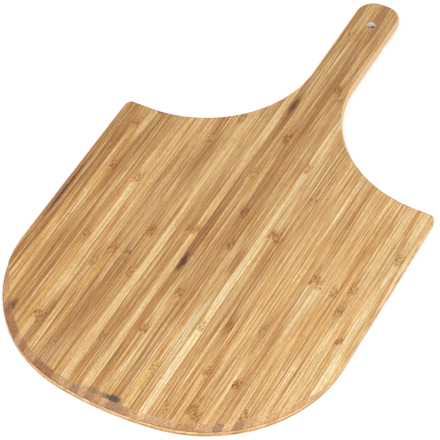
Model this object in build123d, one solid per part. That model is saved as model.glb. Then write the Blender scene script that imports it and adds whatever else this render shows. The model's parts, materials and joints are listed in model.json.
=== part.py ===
from build123d import *
import os
from math import acos, atan, atan2, cos, degrees, radians, sin, sqrt

# Pizza peel pressed from three plies of bamboo strips, lying flat.
# Millimetres, +Z up, +Y from the rounded front edge to the grip, X across the blade.
# The origin is under the middle of the peel: halfway along it, on its lower face.
# The y dimensions below are measured from the front edge.

# Driving dimensions
LENGTH = 533.0              # front edge to the end of the grip, 21 in
BLADE_WIDTH = 305.0         # 12 in
FACE_PLY = 2.25             # upper and lower plies, strips running lengthwise
CORE_PLY = 3.0              # middle ply, strips running crosswise
STRIP_WIDTH = 6.75          # one bamboo strip, with a joint on the centre line

NOSE_RADIUS = 300.0         # shallow arc across the middle of the front edge
CHEEK_RADIUS = 126.4        # rounded front corners, from the nose arc into the straight sides
SHOULDER_Y = 312.9          # square shoulders, where the blade ends
CORNER_RADIUS = 8.5         # outer corner of each shoulder
THROAT_RADIUS = 110.4       # hollow curve from the shoulder into the grip
NECK_HALF_WIDTH = 20.7      # grip beside the throat
NECK_Y = 430.0              # where NECK_HALF_WIDTH is measured
GRIP_HALF_WIDTH = 20.8      # grip where it is widest
GRIP_Y = 505.0              # where GRIP_HALF_WIDTH is measured
END_CORNER_RADIUS = 17.6    # corners of the grip's end
END_RADIUS = 56.0           # crown of the grip's end

BEVEL_RUN = 6.9             # width of the ground bevel along the front, cut through the upper ply
BEVEL_RUN_OUT = 34.0        # degrees short of the straight side where the bevel starts to run out
ROUND_OVER = FACE_PLY       # rounded edges of the grip, throat and shoulders, as deep as a face ply
EASING = 0.6                # small chamfer on the edges everywhere else

HOLE_RADIUS = 4.0           # hole for hanging the peel up
HOLE_Y = 502.0              # the hole's centre
HOLE_EASING = 0.6           # chamfer at both mouths of the hole

# Where the ply groups are divided: rows of strips, counted from the centre line or the front edge
GRIP_STRIPS = 3                                       # strips each side that run on into the grip
UNDERSIDE_GROUPS = (GRIP_STRIPS, 5, 9, 15)            # first strip of each group out from the grip
CORE_GROUPS = {"front": 0, "blade": 19, "shoulders": 46, "throat": 51, "grip": 63}

# Derived sizes
THICKNESS = 2 * FACE_PLY + CORE_PLY
HALF_WIDTH = BLADE_WIDTH / 2
CORE_TOP = FACE_PLY + CORE_PLY
HALF_STRIPS = int(HALF_WIDTH / STRIP_WIDTH) + 1       # strips each side of the centre line
CORE_STRIPS = int(LENGTH / STRIP_WIDTH) + 1
UPPER_PLY = (CORE_TOP, THICKNESS)
MIDDLE_PLY = (FACE_PLY, CORE_TOP)
LOWER_PLY = (0, FACE_PLY)

# Blanks that the outline is cut from
MARGIN = 30.0               # how far a blank stands past the peel
CORNER_RISE = 0.5           # how far the blade blank stands past the shoulders
BLANK_CORNER = 5.0          # hollow behind each corner of the blade blank, off the finished peel
FLARE_Y = 405.0             # from here on the outermost strip of the grip is as wide as the grip needs
FLARE = 2.0                 # room given to that strip
TOLERANCE = 0.001


def at(x, y):
    """Point of the plan, from its distance off the centre line and from the front edge."""
    return (x, y - LENGTH / 2)


def on_arc(centre, radius, angle):
    """Point of the plan on an arc, in the direction of the angle."""
    return (centre[0] + radius * cos(radians(angle)), centre[1] + radius * sin(radians(angle)))


def arc_between(centre, radius, start, end):
    """Arc of the plan about a centre, from one direction to another in degrees."""
    return CenterArc(at(*centre), radius, start, end - start)


def run(*points):
    """Straight edges of the plan from point to point."""
    return [Line(at(*start), at(*end)) for start, end in zip(points, points[1:])]


def both_sides(edges):
    """Face bounded by a half outline and its mirror image."""
    return Face(Wire(edges + [edge.mirror(Plane.YZ) for edge in edges]))


def block(x_range, y_range, z_range):
    """Rectangular block between limits off the centre line, from the front edge and in height."""
    low = (x_range[0], y_range[0] - LENGTH / 2, z_range[0])
    size = [limits[1] - limits[0] for limits in (x_range, y_range, z_range)]
    return Pos(*low) * Box(*size, align=(Align.MIN, Align.MIN, Align.MIN))


def cheek_centre():
    """Centre of the rounded front corner, tangent to the nose arc and to the straight side."""
    x = HALF_WIDTH - CHEEK_RADIUS
    return (x, NOSE_RADIUS - sqrt((NOSE_RADIUS - CHEEK_RADIUS) ** 2 - x**2))


def bevel_end():
    """Direction from the cheek's centre of the point where the bevel has run out."""
    return degrees(acos((CHEEK_RADIUS - BEVEL_RUN) / CHEEK_RADIUS)) - BEVEL_RUN_OUT


def front_edges(inset):
    """Rounded front, as the full outline or, with an inset, as the upper rim of the bevel."""
    nose = (0, NOSE_RADIUS)
    cheek = cheek_centre()
    joint = degrees(atan2(cheek[1] - nose[1], cheek[0]))
    end = bevel_end()
    if inset:
        run_out_start = on_arc(cheek, CHEEK_RADIUS - inset, -BEVEL_RUN_OUT)
        run_out = run(run_out_start, on_arc(cheek, CHEEK_RADIUS, end))
    else:
        run_out = [arc_between(cheek, CHEEK_RADIUS, -BEVEL_RUN_OUT, end)]
    return [
        arc_between(nose, NOSE_RADIUS - inset, -90, joint),
        arc_between(cheek, CHEEK_RADIUS - inset, joint, -BEVEL_RUN_OUT),
        *run_out,
        arc_between(cheek, CHEEK_RADIUS, end, 0),
    ]


def side_edges():
    """Straight side and shoulder corner of the blade blank, and its way on past the grip."""
    corner = (HALF_WIDTH - CORNER_RADIUS, SHOULDER_Y + CORNER_RISE - CORNER_RADIUS)
    hollow = (corner[0], corner[1] + CORNER_RADIUS + BLANK_CORNER)
    inner_x = hollow[0] - BLANK_CORNER
    past = LENGTH + MARGIN
    return [
        *run((HALF_WIDTH, cheek_centre()[1]), (HALF_WIDTH, corner[1])),
        arc_between(corner, CORNER_RADIUS, 0, 90),
        arc_between(hollow, BLANK_CORNER, 270, 180),
        *run((inner_x, hollow[1]), (inner_x, past), (0, past)),
    ]


def blade_blank():
    """Blade with its bevelled front and eased edges, running on past the grip."""
    outline = both_sides(front_edges(0) + side_edges())
    upper_rim = both_sides(front_edges(BEVEL_RUN) + side_edges())
    upper = loft([Pos(0, 0, CORE_TOP) * outline, Pos(0, 0, THICKNESS) * upper_rim], ruled=True)
    blank = extrude(outline, CORE_TOP) + upper

    bevel_end_y = on_arc(cheek_centre(), CHEEK_RADIUS, bevel_end())[1] - LENGTH / 2
    lower_edges = blank.edges().group_by(Axis.Z)[0]
    upper_edges = blank.edges().group_by(Axis.Z)[-1]
    behind_bevel = [edge for edge in upper_edges if edge.bounding_box().min.Y > bevel_end_y - TOLERANCE]
    rim = [edge for edge in lower_edges + behind_bevel if edge.bounding_box().max.Y < LENGTH / 2]
    return chamfer(rim, EASING)


def handle_blank():
    """Shoulders, throat and grip with their rounded edges, under a blade wider than the real one."""
    flare = (GRIP_HALF_WIDTH - NECK_HALF_WIDTH) / (GRIP_Y - NECK_Y)
    lean = degrees(atan(flare))
    foot = NECK_HALF_WIDTH - flare * NECK_Y                      # grip's side, carried on to y = 0

    throat_y = SHOULDER_Y + THROAT_RADIUS
    throat = (foot + flare * throat_y + THROAT_RADIUS / cos(radians(lean)), throat_y)

    # The end corner touches the grip's side and, from inside, the crown of the grip's end.
    crown = (0, LENGTH - END_RADIUS)
    inner_foot = foot - END_CORNER_RADIUS / cos(radians(lean))
    a = 1 + flare**2
    b = 2 * (flare * inner_foot - crown[1])
    c = inner_foot**2 + crown[1] ** 2 - (END_RADIUS - END_CORNER_RADIUS) ** 2
    corner_y = (sqrt(b * b - 4 * a * c) - b) / (2 * a)
    corner = (inner_foot + flare * corner_y, corner_y)
    joint = degrees(atan2(corner[1] - crown[1], corner[0]))

    wide = HALF_WIDTH + MARGIN
    blank = extrude(both_sides([
        *run((0, -MARGIN), (wide, -MARGIN), (wide, SHOULDER_Y), (throat[0], SHOULDER_Y)),
        arc_between(throat, THROAT_RADIUS, 270, 180 - lean),
        *run(on_arc(throat, THROAT_RADIUS, 180 - lean), on_arc(corner, END_CORNER_RADIUS, -lean)),
        arc_between(corner, END_CORNER_RADIUS, -lean, joint),
        arc_between(crown, END_RADIUS, joint, 90),
    ]), THICKNESS)

    shoulder_y = SHOULDER_Y - LENGTH / 2
    level = blank.edges().group_by(Axis.Z)[0] + blank.edges().group_by(Axis.Z)[-1]
    return fillet([edge for edge in level if edge.bounding_box().min.Y > shoulder_y - TOLERANCE], ROUND_OVER)


def hanging_hole():
    """Drilled hole in the grip, with a small chamfer at each mouth."""
    wide = HOLE_RADIUS + HOLE_EASING
    drilled = extrude(Circle(HOLE_RADIUS), THICKNESS)
    lower_mouth = Solid.make_cone(wide, HOLE_RADIUS, HOLE_EASING)
    upper_mouth = Pos(0, 0, THICKNESS - HOLE_EASING) * Solid.make_cone(HOLE_RADIUS, wide, HOLE_EASING)
    return Pos(*at(0, HOLE_Y), 0) * (drilled + lower_mouth + upper_mouth)


def whole_board():
    """Outer shape of the whole peel, before it is divided into its strips."""
    return handle_blank() & blade_blank() - hanging_hole()


def lengthwise_blank(index, ply):
    """Block around one lengthwise strip; index 0 is just to the right of the centre line."""
    left = index * STRIP_WIDTH
    right = left + STRIP_WIDTH
    rank = max(index, -1 - index)
    if rank >= GRIP_STRIPS:
        return block((left, right), (-MARGIN, FLARE_Y), ply)
    blank = block((left, right), (-MARGIN, LENGTH + MARGIN), ply)
    if rank == GRIP_STRIPS - 1:
        outer = (right, right + FLARE) if index > 0 else (left - FLARE, left)
        blank += block(outer, (FLARE_Y, LENGTH + MARGIN), ply)
    return blank


def lengthwise_strip(board, index, ply):
    """One strip of the upper or lower ply."""
    return (board & lengthwise_blank(index, ply)).solid()


def crosswise_strip(board, index):
    """One strip of the middle ply, counted from the front edge."""
    front = index * STRIP_WIDTH
    wide = HALF_WIDTH + MARGIN
    return (board & block((-wide, wide), (front, front + STRIP_WIDTH), MIDDLE_PLY)).solid()


def upper_ply(board):
    """Upper ply, one node for each strip, numbered from left to right."""
    return {
        f"top_strip_{index + HALF_STRIPS + 1:02d}": lengthwise_strip(board, index, UPPER_PLY)
        for index in range(-HALF_STRIPS, HALF_STRIPS)
    }


def lower_ply(board):
    """Lower ply, its strips grouped under the grip and in bands out to each side."""
    grip = range(-GRIP_STRIPS, GRIP_STRIPS)
    nodes = {"bottom_strips_grip": Compound([lengthwise_strip(board, index, LOWER_PLY) for index in grip])}
    ends = UNDERSIDE_GROUPS[1:] + (HALF_STRIPS,)
    for number, (first, end) in enumerate(zip(UNDERSIDE_GROUPS, ends), start=1):
        right = [lengthwise_strip(board, index, LOWER_PLY) for index in range(first, end)]
        left = [lengthwise_strip(board, -1 - index, LOWER_PLY) for index in range(first, end)]
        nodes[f"bottom_strips_right_{number}"] = Compound(right)
        nodes[f"bottom_strips_left_{number}"] = Compound(left)
    return nodes


def middle_ply(board):
    """Middle ply, its strips grouped from the front edge to the end of the grip."""
    ends = [*CORE_GROUPS.values()][1:] + [CORE_STRIPS]
    return {
        f"core_strips_{name}": Compound([crosswise_strip(board, index) for index in range(first, end)])
        for (name, first), end in zip(CORE_GROUPS.items(), ends)
    }


os.makedirs("parts", exist_ok=True)
peel = whole_board()
for node, shape in (upper_ply(peel) | middle_ply(peel) | lower_ply(peel)).items():
    export_step(shape, f"parts/{node}.step")
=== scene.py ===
"""The looks of a bamboo pizza peel: three plies of glued bamboo strips, oiled and a little worn."""

import json
import math
import bpy
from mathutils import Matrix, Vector


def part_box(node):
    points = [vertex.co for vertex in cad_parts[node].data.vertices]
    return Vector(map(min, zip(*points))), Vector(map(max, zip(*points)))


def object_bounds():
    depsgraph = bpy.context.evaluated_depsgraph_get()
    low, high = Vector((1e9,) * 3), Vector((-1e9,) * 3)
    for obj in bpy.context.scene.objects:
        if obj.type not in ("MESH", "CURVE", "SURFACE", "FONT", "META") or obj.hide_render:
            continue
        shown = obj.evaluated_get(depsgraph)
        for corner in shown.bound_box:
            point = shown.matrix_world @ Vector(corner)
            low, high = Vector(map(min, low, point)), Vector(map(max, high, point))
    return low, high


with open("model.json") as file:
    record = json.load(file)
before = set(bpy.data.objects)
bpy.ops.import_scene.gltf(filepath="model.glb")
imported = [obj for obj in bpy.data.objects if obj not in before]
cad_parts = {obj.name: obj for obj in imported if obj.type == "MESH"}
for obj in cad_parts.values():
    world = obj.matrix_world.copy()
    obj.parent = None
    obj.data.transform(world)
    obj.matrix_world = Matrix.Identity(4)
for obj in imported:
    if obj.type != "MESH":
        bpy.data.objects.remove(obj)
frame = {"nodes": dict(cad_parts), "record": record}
cad_low, cad_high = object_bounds()

# Sizes in mm. y runs along the peel and its upper strips, x across the blade, z up.
MM = 0.001
STRIP_WIDTH = 6.75
FRONT = cad_low.y / MM
TOP = cad_high.z / MM
FACE_PLY = (cad_high.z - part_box("core_strips_blade")[1].z) / MM
CORE_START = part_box("core_strips_blade")[0].y / MM
HOLE = next(m for m in frame["record"]["mounts"] if m["name"] == "hanging_hole")
HOLE_RADIUS = HOLE["dims"]["r_mm"]
HOLE_Y = HOLE["pos_m"][1] / MM

# The upper strips are counted from the left edge. This one is the first right of the middle line.
FIRST_RIGHT_STRIP = 24

# Colours as they look in soft white light, 0 to 255.
TONES = {
    "bare": (246, 214, 174),
    "cream": (231, 203, 160),
    "bone": (222, 191, 145),
    "pale": (224, 186, 134),
    "straw": (220, 179, 125),
    "gold": (214, 171, 115),
    "tan": (206, 164, 111),
    "orange": (208, 160, 98),
    "brown": (199, 153, 97),
    "grey": (192, 152, 107),
    "umber": (181, 132, 77),
    "rust": (167, 113, 64),
    "plum": (92, 50, 24),
    "soot": (120, 100, 80),
    "slate": (66, 60, 62),
}

# The upper face, strip by strip, from the left edge to the right.
STRIP_TONES = (
    "brown umber orange gold orange brown brown orange pale gold tan tan tan grey brown tan "
    "pale tan tan pale umber tan tan umber brown tan tan cream tan tan tan gold straw gold "
    "straw gold brown pale straw straw straw straw pale straw cream gold"
).split()

# Strips of these tones have calmer streaks than the others.
PALE_TONES = {"cream", "bone", "pale"}
CALM_STREAKS = 0.55

# A strip without a knuckle counts as this many mm from one.
NO_KNUCKLE = 1000.0

# Where the other strips have the knuckles of the bamboo cane, in mm from the front edge.
KNUCKLES = {
    3: (262,), 4: (291,), 5: (235,), 8: (152,), 9: (232, 57), 10: (55,), 11: (130,), 12: (150,),
    13: (37,), 14: (302, 150), 15: (183,), 16: (340, 135), 18: (62,), 19: (200,), 20: (202,),
    22: (285, 85, 480), 23: (335, 133), 24: (240,), 25: (200, 410), 26: (400, 52), 28: (310, 110),
    29: (228,), 30: (222, 22), 31: (278, 120), 32: (70,), 33: (30,), 34: (25,), 35: (127,),
    36: (68,), 37: (200,), 38: (197,), 39: (43,), 40: (192,), 42: (205, 177), 44: (148,),
    45: (252,),
}

# Stretches of a strip in another tone: middle and half length in mm, tone, strength.
PATCHES = {
    1: ((195, 45, "rust", 0.5),),
    2: ((185, 50, "rust", 0.5), (270, 45, "rust", 0.4)),
    3: ((250, 70, "umber", 0.95), (110, 45, "gold", 0.5)),
    4: ((100, 60, "straw", 0.5),),
    5: ((300, 25, "cream", 0.7), (120, 75, "umber", 0.7)),
    6: ((275, 60, "umber", 0.95), (190, 40, "brown", 0.5)),
    7: ((280, 50, "umber", 0.6), (120, 60, "umber", 0.6)),
    8: ((290, 45, "umber", 0.6),),
    9: ((310, 40, "tan", 0.8), (235, 14, "tan", 0.6), (190, 40, "cream", 0.5)),
    10: ((280, 40, "straw", 0.6), (50, 35, "umber", 0.8)),
    11: ((190, 40, "pale", 0.6), (110, 40, "brown", 0.4), (50, 30, "straw", 0.6)),
    12: ((290, 40, "brown", 0.4), (100, 60, "orange", 0.9)),
    13: ((60, 65, "rust", 0.6), (320, 30, "straw", 0.6)),
    14: ((200, 50, "tan", 0.6), (320, 22, "tan", 0.7), (105, 50, "umber", 1.0)),
    15: ((330, 22, "orange", 0.8), (280, 40, "umber", 0.5), (100, 40, "umber", 0.4)),
    16: ((290, 40, "brown", 0.4), (120, 50, "brown", 0.5)),
    17: ((285, 30, "straw", 0.6), (60, 60, "bone", 0.5)),
    18: ((60, 40, "umber", 0.5),),
    19: ((240, 80, "brown", 0.5),),
    20: ((190, 30, "straw", 0.5), (60, 60, "cream", 0.5), (350, 30, "cream", 0.6)),
    21: ((370, 30, "rust", 0.8), (205, 30, "rust", 0.9), (95, 40, "brown", 0.9),
         (450, 50, "brown", 0.7)),
    22: ((450, 70, "brown", 0.4), (300, 60, "brown", 0.5), (70, 70, "straw", 0.4)),
    23: ((450, 70, "brown", 0.9), (335, 25, "umber", 0.8), (270, 30, "straw", 0.3),
         (50, 60, "bone", 0.9)),
    24: ((420, 60, "rust", 0.3), (262, 30, "rust", 0.5), (205, 45, "rust", 0.5),
         (60, 60, "tan", 0.7), (160, 30, "brown", 0.5)),
    25: ((470, 60, "tan", 0.5), (70, 65, "pale", 0.8), (235, 70, "umber", 0.6)),
    26: ((360, 40, "brown", 0.5), (50, 60, "pale", 0.7)),
    27: ((185, 16, "umber", 0.9), (90, 55, "bone", 0.9)),
    28: ((110, 60, "bare", 0.4),),
    29: ((190, 50, "straw", 0.6), (60, 60, "straw", 0.8)),
    30: ((240, 80, "brown", 0.7), (60, 40, "straw", 0.4)),
    31: ((240, 80, "brown", 0.5), (122, 12, "umber", 0.7), (50, 30, "straw", 0.6)),
    32: ((280, 40, "tan", 0.6), (75, 45, "orange", 0.9)),
    33: ((45, 30, "tan", 0.9), (150, 30, "pale", 0.3)),
    34: ((70, 40, "tan", 0.6),),
    35: ((210, 40, "pale", 0.7), (125, 22, "tan", 0.8), (50, 40, "pale", 0.6)),
    36: ((285, 40, "tan", 0.7), (65, 30, "tan", 0.6)),
    37: ((200, 55, "pale", 0.6), (55, 25, "brown", 0.7)),
    38: ((170, 26, "cream", 0.6),),
    39: ((285, 40, "gold", 0.7), (100, 25, "pale", 0.7), (45, 25, "tan", 0.7)),
    40: ((175, 22, "umber", 0.3), (70, 50, "brown", 0.5)),
    41: ((290, 30, "gold", 0.7),),
    42: ((178, 20, "tan", 0.8), (100, 50, "pale", 0.5)),
    43: ((95, 30, "cream", 0.4),),
    45: ((150, 90, "cream", 0.6),),
    46: ((215, 30, "gold", 0.7),),
}

# Where a stretch starts to show and is full, as shares of its half length. The noise that moves
# its ends is scaled to its half length, up to this many mm.
PATCH_FADE = (1.4, 0.4)
MOST_PATCH_WANDER = 34.0

# Thin straight streaks along a strip: mm right of the middle line, half width, tone.
STREAKS = {
    1: ((-148.0, 0.5, "rust"),),
    2: ((-144.5, 0.5, "straw"),),
    4: ((-135.7, 0.6, "cream"),),
    7: ((-110.8, 0.5, "cream"),),
    11: ((-85.0, 0.4, "pale"),),
    19: ((-31.5, 0.4, "rust"), (-29.0, 0.4, "umber")),
    24: ((5.6, 0.9, "rust"),),
    27: ((26.5, 0.4, "brown"),),
    30: ((45.5, 0.5, "cream"),),
    33: ((65.0, 0.5, "cream"),),
}
STREAK_FADE = (1.4, 0.5)
STREAK_STRENGTH = 0.75

# The cut ends of the strips, on the bevel of the front edge, from the left to the right.
END_TONES = {
    "char": (162, 110, 72),
    "dusk": (164, 125, 95),
    "amber": (187, 140, 96),
    "peach": (200, 156, 118),
    "shell": (217, 178, 140),
}
STRIP_ENDS = (
    "amber amber amber amber char char char char peach char amber amber char char char amber "
    "peach amber dusk peach dusk amber peach dusk dusk amber peach shell peach peach peach peach "
    "amber amber peach peach dusk shell dusk peach shell peach shell peach shell shell"
).split()

# Scorched, dark and pale marks on the face: middle and half size in mm, from the middle line and
# the front edge, tone and strength.
MARKS = (
    (-12.0, 9.5, 17.0, 3.6, "soot", 0.6),
    (3.0, 10.0, 9.0, 4.5, "slate", 0.85),
    (-121.0, 55.0, 5.0, 11.0, "plum", 0.75),
    (-147.9, 190.0, 1.7, 50.0, "plum", 0.85),
    (-118.5, 311.5, 3.0, 2.0, "plum", 0.8),
    (7.6, 492.0, 0.9, 34.0, "rust", 0.8),
    (10.8, 478.0, 0.7, 50.0, "rust", 0.7),
    (15.2, 462.0, 0.7, 40.0, "rust", 0.6),
    (-7.5, 455.0, 0.6, 45.0, "cream", 0.6),
    (-16.8, 374.0, 3.2, 13.0, "plum", 0.9),
    (-16.9, 166.0, 3.3, 15.0, "plum", 1.0),
    (-132.0, 198.0, 1.3, 1.3, "bare", 0.9),
)

# Where a mark starts to show and is full, and how much noise moves its edge, as shares of its half
# size. A strip whose middle is this many mm outside a mark's half size is clear of it.
MARK_FADE = (1.15, 0.35)
MARK_SMOKE = 1.4
MARK_MARGIN = 2 * STRIP_WIDTH

# What a fibre, line or fleck multiplies the red, green and blue of its strip by.
DARKER = (0.77, 0.60, 0.36, 1.0)
DEEPER = (0.62, 0.44, 0.28, 1.0)
LIGHTER = (1.17, 1.34, 1.66, 1.0)
GOLDEN = (1.02, 0.94, 0.68, 1.0)

# The noises of the grain: mm across and along the fibres that a cell measures, detail, roughness.
NOISES = {
    "line": (1.2, 150.0, 2.5, 0.65),
    "fibre": (0.8, 90.0, 1.5, 0.6),
    "hair": (0.55, 60.0, 1.0, 0.5),
    "broad": (3.4, 230.0, 1.0, 0.5),
    "cloud": (5.5, 30.0, 3.0, 0.6),
    "dash": (0.65, 6.0, 1.0, 0.5),
    "pore": (0.8, 1.6, 1.0, 0.5),
    "warmth": (1.7, 75.0, 2.0, 0.5),
    "sway": (9.0, 60.0, 1.0, 0.5),
    "curl": (3.4, 5.0, 1.0, 0.5),
    "ragged": (2.0, 9.0, 2.0, 0.5),
    "fleck": (1.4, 2.6, 2.0, 0.5),
    "fierce": (0.7, 90.0, 2.0, 0.5),
    "seam": (5.0, 90.0, 1.0, 0.5),
    "vessel": (1.0, 1.6, 2.0, 0.6),
    "end cloud": (2.2, 3.0, 2.0, 0.5),
    "patch": (1.3, 26.0, 2.0, 0.5),
    "smoke": (1.6, 7.0, 3.0, 0.5),
    "rubbed": (5.0, 16.0, 3.0, 0.5),
}

# What a noise does to the colour: the values where its mark starts and is full, strength, tint.
SHADES = {
    "broad": ((0.52, 0.38, 0.15, DARKER), (0.52, 0.66, 0.20, LIGHTER)),
    "line": ((0.49, 0.39, 0.42, DARKER), (0.53, 0.63, 0.42, LIGHTER)),
    "fibre": ((0.49, 0.39, 0.70, DARKER), (0.53, 0.63, 0.66, LIGHTER)),
    "hair": ((0.49, 0.39, 1.00, DARKER), (0.53, 0.63, 0.95, LIGHTER)),
    "cloud": ((0.56, 0.38, 0.16, DARKER),),
    "dash": ((0.55, 0.68, 0.55, DARKER),),
    "pore": ((0.46, 0.34, 0.35, DARKER), (0.52, 0.64, 0.45, LIGHTER)),
    "warmth": ((0.47, 0.60, 0.80, GOLDEN),),
    "seam": ((0.60, 0.42, 0.80, DEEPER), (0.52, 0.62, 0.75, LIGHTER)),
    "vessel": ((0.49, 0.38, 0.90, DARKER), (0.52, 0.64, 0.80, LIGHTER)),
    "end cloud": ((0.54, 0.38, 0.50, DARKER),),
}
NOISE_MIDDLE = 0.5

# How far in mm the noise of each strip is shifted across and along from the one before it.
SEED_SHIFT = (17.3, 131.7)

# The noises that bend the fibres, curl them in a knuckle and move a knuckle's edges swing about
# zero by less than half. These are the mm that their swings are multiplied by.
SWAY = 0.9
CURL = 4.0
KNUCKLE_WANDER = 17.0

# The streaks of the fibres lose this share of their strength in a knuckle.
LOST_IN_KNUCKLE = 0.7

# Where the parts of a knuckle start and are full, in mm from its middle.
KNUCKLE_FADE = (8.0, 2.5)
RIDGE_FADE = (1.3, 0.3)
TAIL_START = (0.0, 5.0)
TAIL_END = (30.0, 7.0)

# Where the glue between two strips starts to show and is full, in mm from the joint.
SEAM_FADE = (0.62, 0.20)

# Values of a normal's part along the fibres from which end grain starts to show and is full.
END_CUT = (0.10, 0.26)

# A strip of the underside or the core has knuckles this many mm apart, shifted by a random part
# of this many gaps.
KNUCKLE_GAP = 260.0
GAPS_SHIFTED = 7

# Added to a strip's whole number, to seed its random tone and shift.
CHANCE_SEED = 0.37

# The tones of those strips, and the two 0 to 255 colours that their cut ends lie between.
UNDERSIDE_TONES = ("gold", "tan", "straw", "brown", "pale")
UNDERSIDE_ENDS = ((180, 142, 98), (222, 182, 138))
CORE_TONES = ("straw", "gold", "pale", "cream", "tan")
CORE_ENDS = ((220, 172, 116), (250, 208, 156))

# Painted light on the sides: a pale colour that stands in for the light on the side walls, and its
# strength, then the mm from the front edge over which pale patches set in, and over which the whole
# side turns pale.
PAINTED_SIDE_LIGHT = (250, 207, 165)
PAINTED_SIDE_LIGHT_STRENGTH = 0.85
SIDE_LIGHT_PATCHES = (140.0, 180.0)
SIDE_LIGHT_EVERYWHERE = (330.0, 390.0)

# The hole. Its chamfered mouth ends between these mm out from its wall. The wall is bare wood
# painted pale to stand in for the light in the hole, with a painted shadow at the bottom that
# climbs to the right by this slope and fades between these heights.
HOLE_MOUTH = (0.9, 1.4)
BARE_WOOD_AND_LIGHT_LINEAR = (0.78, 0.70, 0.61, 1.0)
SHADOW_SLOPE = 0.6
SHADOW_FADE = (1.2, 3.4)

# The satin finish of the oil: how rough it is, how much that changes between dark and pale
# fibres, and how much rougher a cut end is.
ROUGHNESS = 0.47
FIBRE_ROUGHNESS = 0.35
END_ROUGHNESS = 0.16

# The fine relief of the wood, and how far each part of the grain stands up in it.
BUMP_STRENGTH = 0.55
BUMP_HEIGHT = 0.25 * MM
RELIEF = {"fibre": 0.35, "line": 0.3, "seam": -0.3, "fleck": 0.6, "vessel": 0.5}

# How much the lights and the sheen of the oil raise a colour's red, green and blue.
STUDIO_LIGHT = (1.31, 1.29, 1.44)

# The camera, at the photograph's viewing angle: degrees, m and mm of lens.
CAMERA_AZIMUTH = 27.774
CAMERA_ELEVATION = 48.3
CAMERA_DISTANCE = 2.0659
CAMERA_TARGET = Vector((-14.25, FRONT + 227.35, 0.0)) * MM
CAMERA_LENS = 194.9

# The wide soft lights: azimuth and elevation in degrees, distance and size in m, power in W.
LIGHTS = {
    "key": (38, 42, 1.25, 1.0, 9),
    "fill": (-60, 50, 2.2, 1.8, 11),
    "back": (170, 50, 2.2, 1.6, 5),
}
SKY_STRENGTH = 0.84

# The floor: its grey, half its side in m, and the gap that keeps it off the underside.
FLOOR_GREY = 0.93
FLOOR_HALF = 6.0
FLOOR_GAP = 0.2 * MM


def linear(colour):
    """A 0 to 255 sRGB colour as the linear colour that shows as it in the studio's light."""
    parts = [part / 255 for part in colour]
    parts = [p / 12.92 if p <= 0.04045 else ((p + 0.055) / 1.055) ** 2.4 for p in parts]
    return [part / light for part, light in zip(parts, STUDIO_LIGHT)] + [1.0]


class Nodes:
    """Adds nodes to one shader tree. A value is a number, a colour or another node's output."""

    def __init__(self, tree):
        self.tree = tree

    def node(self, kind, **settings):
        made = self.tree.nodes.new(kind)
        for name, value in settings.items():
            setattr(made, name, value)
        return made

    def join(self, socket, value):
        if isinstance(value, bpy.types.NodeSocket):
            self.tree.links.new(value, socket)
        else:
            socket.default_value = value

    def math(self, operation, *values):
        made = self.node("ShaderNodeMath", operation=operation)
        for socket, value in zip(made.inputs, values):
            self.join(socket, value)
        return made.outputs[0]

    def plus(self, first, second):
        return self.math("ADD", first, second)

    def minus(self, first, second):
        return self.math("SUBTRACT", first, second)

    def times(self, first, *others):
        for other in others:
            first = self.math("MULTIPLY", first, other)
        return first

    def times_plus(self, first, factor, added):
        return self.math("MULTIPLY_ADD", first, factor, added)

    def absolute(self, value):
        return self.math("ABSOLUTE", value)

    def length(self, first, second):
        """The length of a vector of two parts."""
        return self.math("SQRT", self.plus(self.times(first, first), self.times(second, second)))

    def step(self, value, start, full):
        """0 up to start, 1 from full on, smooth between them. Full may be the lower value."""
        made = self.node("ShaderNodeMapRange", interpolation_type="SMOOTHSTEP")
        for name, given in (("Value", value), ("From Min", start), ("From Max", full)):
            self.join(made.inputs[name], given)
        return made.outputs["Result"]

    def vector(self, x, y, z):
        made = self.node("ShaderNodeCombineXYZ")
        for socket, value in zip(made.inputs, (x, y, z)):
            self.join(socket, value)
        return made.outputs[0]

    def parts(self, vector):
        made = self.node("ShaderNodeSeparateXYZ")
        self.join(made.inputs[0], vector)
        return made.outputs[0], made.outputs[1], made.outputs[2]

    def noise(self, name, vector):
        """One of the noises of the grain, for a vector in mm whose y runs along the fibres."""
        across, along, detail, roughness = NOISES[name]
        scaled = self.node("ShaderNodeVectorMath", operation="DIVIDE")
        self.join(scaled.inputs[0], vector)
        self.join(scaled.inputs[1], (across, along, across))
        made = self.node("ShaderNodeTexNoise")
        self.join(made.inputs["Vector"], scaled.outputs[0])
        self.join(made.inputs["Scale"], 1.0)
        self.join(made.inputs["Detail"], detail)
        self.join(made.inputs["Roughness"], roughness)
        return made.outputs["Fac"]

    def swing(self, noise):
        """A noise made to swing about zero."""
        return self.minus(noise, NOISE_MIDDLE)

    def blend(self, factor, first, second, mode="MIX"):
        made = self.node("ShaderNodeMix", data_type="RGBA", blend_type=mode)
        self.join(made.inputs[0], factor)
        self.join(made.inputs[6], first)
        self.join(made.inputs[7], second)
        return made.outputs[2]

    def tint(self, colour, mask, by, strength):
        """The colour multiplied by another one where the mask is 1, at that strength."""
        return self.blend(self.times(mask, strength), colour, by, "MULTIPLY")

    def shade(self, name, noise, colour, strength=1.0):
        """The colour with all that a noise does to it."""
        for start, full, share, by in SHADES[name]:
            mask = self.step(noise, start, full)
            colour = self.tint(colour, mask, by, self.times(strength, share))
        return colour


def open_group(name, inputs, outputs):
    """A new node group, its node maker, its input values and its output sockets."""
    tree = bpy.data.node_groups.new(name, "ShaderNodeTree")
    for way, sockets in (("INPUT", inputs), ("OUTPUT", outputs)):
        for socket, kind in sockets.items():
            tree.interface.new_socket(socket, in_out=way, socket_type=f"NodeSocket{kind}")
    n = Nodes(tree)
    return tree, n, n.node("NodeGroupInput").outputs, n.node("NodeGroupOutput").inputs


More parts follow.
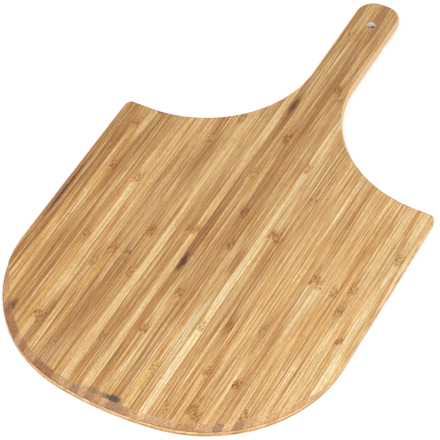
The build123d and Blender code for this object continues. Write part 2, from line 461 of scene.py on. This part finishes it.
def strip_colour(n, own, bent, fibre, line, knuckle, given):
    """A strip's tone with its broad bands, streaks, clouds, dashes, pores and golden stretches."""
    colour = n.shade("broad", n.noise("broad", bent), given["Tone"])
    streaks = n.times(given["Streaks"], n.times_plus(knuckle, -LOST_IN_KNUCKLE, 1.0))
    for name, noise in (("line", line), ("fibre", fibre), ("hair", n.noise("hair", bent))):
        colour = n.shade(name, noise, colour, streaks)
    colour = n.shade("cloud", n.noise("cloud", own), colour)
    colour = n.shade("dash", n.noise("dash", bent), colour)
    colour = n.shade("pore", n.noise("pore", own), colour)
    return n.shade("warmth", n.noise("warmth", bent), colour, given["Streaks"])


def knuckle_colour(n, colour, fierce, fleck, from_knuckle, knuckle, line, curl):
    """The colour with a knuckle's brown ground, flecks, dark tail and fine ridge."""
    ground_strength = n.times_plus(fierce, 0.55, 0.45)
    colour = n.tint(colour, knuckle, DARKER, ground_strength)
    dark_flecks = n.times(knuckle, n.step(fleck, start=0.51, full=0.42))
    fleck_strength = n.times_plus(fierce, 0.35, 0.65)
    colour = n.tint(colour, dark_flecks, DEEPER, fleck_strength)
    pale_flecks = n.times(knuckle, n.step(fleck, start=0.52, full=0.59))
    colour = n.tint(colour, pale_flecks, LIGHTER, strength=1.0)
    tail = n.times(n.step(from_knuckle, *TAIL_START), n.step(from_knuckle, *TAIL_END))
    tail = n.times(tail, n.step(line, start=0.56, full=0.44))
    colour = n.tint(colour, tail, DARKER, strength=0.60)
    ridge = n.step(n.absolute(from_knuckle), *RIDGE_FADE)
    ridge = n.times(ridge, n.step(curl, start=0.40, full=0.56))
    return n.tint(colour, ridge, DEEPER, strength=0.65)


def bamboo_group():
    """The shared look of one bamboo strip. Its fibres run along y; all lengths are in mm."""
    inputs = {"Position": "Vector", "Normal": "Vector", "Seed": "Float", "Streaks": "Float",
              "Tone": "Color", "End tone": "Color", "From knuckle": "Float", "From joint": "Float"}
    outputs = {"Color": "Color", "Roughness": "Float", "Height": "Float"}
    tree, n, given, result = open_group("bamboo", inputs, outputs)
    x, y, z = n.parts(given["Position"])
    seed = given["Seed"]
    own = n.vector(n.times_plus(seed, SEED_SHIFT[0], x), n.times_plus(seed, SEED_SHIFT[1], y), z)

    wander = n.swing(n.noise("ragged", own))
    from_knuckle = n.times_plus(wander, KNUCKLE_WANDER, given["From knuckle"])
    knuckle = n.step(n.absolute(from_knuckle), *KNUCKLE_FADE)
    sway = n.noise("sway", own)
    curl = n.noise("curl", own)
    bend = n.plus(n.times(n.swing(sway), SWAY), n.times(n.swing(curl), CURL, knuckle))
    bending = n.node("ShaderNodeVectorMath", operation="ADD")
    n.join(bending.inputs[0], own)
    n.join(bending.inputs[1], n.vector(bend, 0.0, bend))
    bent = bending.outputs[0]

    fibre = n.noise("fibre", bent)
    line = n.noise("line", bent)
    colour = strip_colour(n, own, bent, fibre, line, knuckle, given)
    fleck = n.noise("fleck", own)
    fierce = n.step(n.noise("fierce", n.vector(seed, y, 0.0)), start=0.35, full=0.65)
    colour = knuckle_colour(n, colour, fierce, fleck, from_knuckle, knuckle, line, curl)
    seam = n.step(given["From joint"], *SEAM_FADE)
    colour = n.shade("seam", n.noise("seam", n.vector(x, y, 0.0)), colour, seam)

    end_cut = n.step(n.absolute(n.parts(given["Normal"])[1]), *END_CUT)
    vessels = n.noise("vessel", own)
    end = n.shade("vessel", vessels, given["End tone"])
    end = n.shade("end cloud", n.noise("end cloud", own), end)
    end = n.tint(end, seam, DARKER, strength=0.35)
    n.join(result["Color"], n.blend(end_cut, colour, end))

    rough = n.times_plus(n.minus(NOISE_MIDDLE, fibre), FIBRE_ROUGHNESS, ROUGHNESS)
    n.join(result["Roughness"], n.times_plus(end_cut, END_ROUGHNESS, rough))
    height = n.plus(n.times(fibre, RELIEF["fibre"]), n.times(line, RELIEF["line"]))
    height = n.plus(height, n.times(seam, RELIEF["seam"]))
    height = n.plus(height, n.times(knuckle, fleck, RELIEF["fleck"]))
    height = n.plus(height, n.times(vessels, end_cut, RELIEF["vessel"]))
    n.join(result["Height"], height)
    return tree


BAMBOO = bamboo_group()


def new_material(name):
    """An empty node material, its node maker, and position in mm and normal as x, y, z."""
    material = bpy.data.materials.new(name)
    material.use_nodes = True
    material.node_tree.nodes.clear()
    n = Nodes(material.node_tree)
    coordinates = n.node("ShaderNodeTexCoord")
    in_mm = n.node("ShaderNodeVectorMath", operation="SCALE")
    n.join(in_mm.inputs[0], coordinates.outputs["Object"])
    n.join(in_mm.inputs["Scale"], 1 / MM)
    return material, n, n.parts(in_mm.outputs[0]), n.parts(coordinates.outputs["Normal"])


def strips_from(n, across, start):
    """How many strip widths a point is from start."""
    return n.math("DIVIDE", n.minus(across, start), STRIP_WIDTH)


def from_joint(n, across, start):
    """How far, in mm, a point is from the nearer side of its strip."""
    place = n.math("FRACT", strips_from(n, across, start))
    to_side = n.minus(0.5, n.absolute(n.minus(place, 0.5)))
    return n.times(to_side, STRIP_WIDTH)


def edge_marks(n, colour, position, normal):
    """The colour with a pale line at the arris, painted light on the sides, painted shade on faces
    turned back, a painted shadow along the lower edge, the glue lines of the rim, and the hole with
    its painted shade and shadow.
    """
    x, y, height = position
    from_hole = n.length(x, n.minus(y, HOLE_Y))
    off_hole = n.step(from_hole, HOLE_RADIUS + HOLE_MOUTH[0], HOLE_RADIUS + HOLE_MOUTH[1])

    slope = n.step(normal[2], start=0.985, full=0.93)
    arris = n.step(height, start=TOP - 0.7, full=TOP - 0.1)
    colour = n.tint(colour, n.times(slope, off_hole, arris), LIGHTER, strength=0.45)

    # Painted light: steep sides are painted pale, in patches part way back and all over near the
    # grip, in place of the light on the side walls.
    steep = n.step(normal[2], start=0.98, full=0.85)
    sideways = n.times(steep, n.step(n.absolute(normal[0]), start=0.15, full=0.45))
    patches = n.step(n.noise("rubbed", n.vector(*position)), start=0.46, full=0.56)
    start, full = SIDE_LIGHT_PATCHES
    patches = n.times(patches, n.step(y, FRONT + start, FRONT + full))
    start, full = SIDE_LIGHT_EVERYWHERE
    rubbed = n.math("MAXIMUM", patches, n.step(y, FRONT + start, FRONT + full))
    rubbed = n.times(sideways, off_hole, rubbed)
    colour = n.blend(n.times(rubbed, PAINTED_SIDE_LIGHT_STRENGTH), colour, linear(PAINTED_SIDE_LIGHT))

    # Painted shade: faces turned towards the back are darkened.
    painted_shade_facing_back = n.step(normal[1], start=0.25, full=0.6)
    colour = n.tint(colour, painted_shade_facing_back, DEEPER, strength=0.45)
    for joint in (FACE_PLY, TOP - FACE_PLY):
        glue_line = n.step(n.absolute(n.minus(height, joint)), start=0.45, full=0.10)
        colour = n.tint(colour, glue_line, DARKER, strength=0.8)
    # Painted shadow: the lowest mm of the rim is darkened where it meets the floor.
    painted_shadow_lower_edge = n.step(height, start=0.9, full=0.3)
    colour = n.tint(colour, painted_shadow_lower_edge, DARKER, strength=0.9)

    # Painted shade: the chamfered mouth of the hole is darkened.
    painted_shade_mouth = n.times(slope, n.minus(1.0, off_hole))
    colour = n.tint(colour, painted_shade_mouth, DEEPER, strength=0.4)
    # The wall of the hole: bare wood painted pale as painted light, with a painted shadow at its
    # bottom that climbs to the right.
    in_hole = n.step(from_hole, start=HOLE_RADIUS + 0.2, full=HOLE_RADIUS + 0.05)
    height_above_shadow = n.times_plus(x, -SHADOW_SLOPE, height)
    bare = n.step(height_above_shadow, *SHADOW_FADE)
    wall = n.blend(bare, linear(TONES["plum"]), BARE_WOOD_AND_LIGHT_LINEAR)
    return n.blend(in_hole, colour, wall)


def finish_material(n, position, normal, turned, turned_normal, *grain):
    """Puts the bamboo, the marks of the edges and the satin oiled finish on a material.

    The turned position and normal have the fibres along y; the grain is the group's other inputs.
    """
    group = n.node("ShaderNodeGroup", node_tree=BAMBOO)
    for socket, value in zip(group.inputs, (n.vector(*turned), n.vector(*turned_normal), *grain)):
        n.join(socket, value)
    bump = n.node("ShaderNodeBump")
    n.join(bump.inputs["Strength"], BUMP_STRENGTH)
    n.join(bump.inputs["Distance"], BUMP_HEIGHT)
    n.join(bump.inputs["Height"], group.outputs["Height"])
    shader = n.node("ShaderNodeBsdfPrincipled")
    colour = edge_marks(n, group.outputs["Color"], position, normal)
    n.join(shader.inputs["Base Color"], colour)
    n.join(shader.inputs["Roughness"], group.outputs["Roughness"])
    n.join(shader.inputs["Normal"], bump.outputs[0])
    n.join(n.node("ShaderNodeOutputMaterial").inputs["Surface"], shader.outputs[0])


def patched_tone(n, number, x, y):
    """A face strip's own tone with its darker and lighter stretches."""
    tone = linear(TONES[STRIP_TONES[number - 1]])
    ragged = n.swing(n.noise("patch", n.vector(x, y, 0.0)))
    for middle, half, word, strength in PATCHES.get(number, ()):
        shifted = n.times_plus(ragged, min(half, MOST_PATCH_WANDER), y)
        away = n.absolute(n.minus(shifted, FRONT + middle))
        start, full = PATCH_FADE
        inside = n.times(n.step(away, half * start, half * full), strength)
        tone = n.blend(inside, tone, linear(TONES[word]))
    return tone


def streaked_tone(n, number, tone, x):
    """A face strip's tone with its thin straight streaks."""
    for place, half, word in STREAKS.get(number, ()):
        away = n.absolute(n.minus(x, place))
        start, full = STREAK_FADE
        inside = n.times(n.step(away, half * start, half * full), STREAK_STRENGTH)
        tone = n.blend(inside, tone, linear(TONES[word]))
    return tone


def marked_tone(n, number, tone, x, y):
    """A face strip's tone with the marks that reach it, their edges ragged like smoke."""
    strip_middle = (number - FIRST_RIGHT_STRIP + 0.5) * STRIP_WIDTH
    for across, along, half_x, half_y, word, strength in MARKS:
        if abs(across - strip_middle) > half_x + MARK_MARGIN:
            continue
        away_x = n.math("DIVIDE", n.minus(x, across), half_x)
        away_y = n.math("DIVIDE", n.minus(y, FRONT + along), half_y)
        smoke = n.swing(n.noise("smoke", n.vector(x, y, 0.0)))
        away = n.plus(n.length(away_x, away_y), n.times(smoke, MARK_SMOKE))
        inside = n.times(n.step(away, *MARK_FADE), strength)
        tone = n.blend(inside, tone, linear(TONES[word]))
    return tone


def from_nearest_knuckle(n, number, y):
    """How far past its nearest knuckle a point of a face strip is, in mm."""
    nearest = NO_KNUCKLE
    for place in KNUCKLES.get(number, ()):
        past = n.minus(y, FRONT + place)
        if nearest == NO_KNUCKLE:
            nearest = past
            continue
        closer = n.math("LESS_THAN", n.absolute(past), n.absolute(nearest))
        nearest = n.times_plus(closer, n.minus(past, nearest), nearest)
    return nearest


def face_material(number):
    """One strip of the upper face."""
    material, n, position, normal = new_material(f"bamboo_face_{number:02d}")
    x, y = position[:2]
    tone = patched_tone(n, number, x, y)
    tone = streaked_tone(n, number, tone, x)
    tone = marked_tone(n, number, tone, x, y)
    end_tone = linear(END_TONES[STRIP_ENDS[number - 1]])
    streaks = CALM_STREAKS if STRIP_TONES[number - 1] in PALE_TONES else 1.0
    knuckle = from_nearest_knuckle(n, number, y)
    joint = from_joint(n, x, 0.0)
    finish_material(n, position, normal, position, normal,
                    float(number), streaks, tone, end_tone, knuckle, joint)
    return material


def random_tone(n, index, words):
    """A tone taken at random for each whole number, and the random value behind it."""
    chance = n.node("ShaderNodeTexWhiteNoise", noise_dimensions="1D")
    n.join(chance.inputs["W"], n.plus(index, CHANCE_SEED))
    tone = linear(TONES[words[0]])
    for place, word in enumerate(words[1:], 1):
        after = n.math("GREATER_THAN", chance.outputs["Value"], place / len(words))
        tone = n.blend(after, tone, linear(TONES[word]))
    return tone, chance.outputs["Value"]


def plain_ply_material(name, words, ends, crosswise):
    """A ply whose strips take their tones and knuckles at random: the underside or the core."""
    material, n, position, normal = new_material(name)
    start, turned, turned_normal = 0.0, position, normal
    if crosswise:
        start = CORE_START
        turned = (position[1], position[0], position[2])
        turned_normal = (normal[1], normal[0], normal[2])
    index = n.math("FLOOR", strips_from(n, turned[0], start))
    tone, chance = random_tone(n, index, words)
    end_tone = n.blend(n.step(chance, 0.0, 1.0), linear(ends[0]), linear(ends[1]))
    shifted = n.times_plus(chance, GAPS_SHIFTED * KNUCKLE_GAP, turned[1])
    knuckle = n.minus(n.math("FLOORED_MODULO", shifted, KNUCKLE_GAP), KNUCKLE_GAP / 2)
    joint = from_joint(n, turned[0], start)
    finish_material(n, position, normal, turned, turned_normal,
                    index, 1.0, tone, end_tone, knuckle, joint)
    return material


def dress_plies():
    """Gives every CAD node its bamboo."""
    underside = plain_ply_material("bamboo_underside", UNDERSIDE_TONES, UNDERSIDE_ENDS, False)
    core = plain_ply_material("bamboo_core", CORE_TONES, CORE_ENDS, True)
    for name, piece in frame["nodes"].items():
        if name.startswith("top_strip_"):
            material = face_material(int(name.rsplit("_", 1)[1]))
        elif name.startswith("core_strips_"):
            material = core
        else:
            material = underside
        piece.data.materials.clear()
        piece.data.materials.append(material)


def direction(azimuth, elevation):
    """The unit vector that points back from the object at that viewing angle."""
    a, e = math.radians(azimuth), math.radians(elevation)
    return Vector((math.sin(a) * math.cos(e), -math.cos(a) * math.cos(e), math.sin(e)))


def add_aimed(name, data, back, location):
    """Adds a camera or light at a location, turned to look against the vector back."""
    made = bpy.data.objects.new(name, data)
    made.location = location
    made.rotation_euler = back.to_track_quat("Z", "Y").to_euler()
    bpy.context.scene.collection.objects.link(made)
    return made


def add_camera():
    """The camera, which sees the whole peel as the photograph does."""
    back = direction(CAMERA_AZIMUTH, CAMERA_ELEVATION)
    data = bpy.data.cameras.new("view")
    data.lens = CAMERA_LENS
    data.sensor_width = 36.0
    data.clip_end = 20.0
    camera = add_aimed("view", data, back, CAMERA_TARGET + back * CAMERA_DISTANCE)
    bpy.context.scene.camera = camera


def add_lights():
    """The wide soft lights, all aimed at the middle of the peel."""
    for name, (azimuth, elevation, distance, size, power) in LIGHTS.items():
        data = bpy.data.lights.new(name, "AREA")
        data.shape = "SQUARE"
        data.size = size
        data.energy = power
        back = direction(azimuth, elevation)
        add_aimed(name, data, back, back * distance)


def add_floor():
    """A plain pale floor just under the peel."""
    sides = ((-1, -1), (1, -1), (1, 1), (-1, 1))
    below = cad_low.z - FLOOR_GAP
    corners = [(x * FLOOR_HALF, y * FLOOR_HALF, below) for x, y in sides]
    mesh = bpy.data.meshes.new("studio_floor")
    mesh.from_pydata(corners, [], [(0, 1, 2, 3)])
    floor = bpy.data.objects.new("studio_floor", mesh)
    bpy.context.scene.collection.objects.link(floor)
    material = bpy.data.materials.new("studio_floor")
    material.use_nodes = True
    shader = material.node_tree.nodes["Principled BSDF"]
    shader.inputs["Base Color"].default_value = (FLOOR_GREY, FLOOR_GREY, FLOOR_GREY, 1.0)
    shader.inputs["Roughness"].default_value = 0.9
    shader.inputs["Specular IOR Level"].default_value = 0.1
    mesh.materials.append(material)


def add_sky():
    """An even white sky."""
    world = bpy.data.worlds.new("studio")
    world.use_nodes = True
    sky = world.node_tree.nodes["Background"]
    sky.inputs["Color"].default_value = (1.0, 1.0, 1.0, 1.0)
    sky.inputs["Strength"].default_value = SKY_STRENGTH
    bpy.context.scene.world = world


dress_plies()
add_camera()
add_floor()
add_sky()
add_lights()
bpy.context.scene.view_settings.view_transform = "Standard"
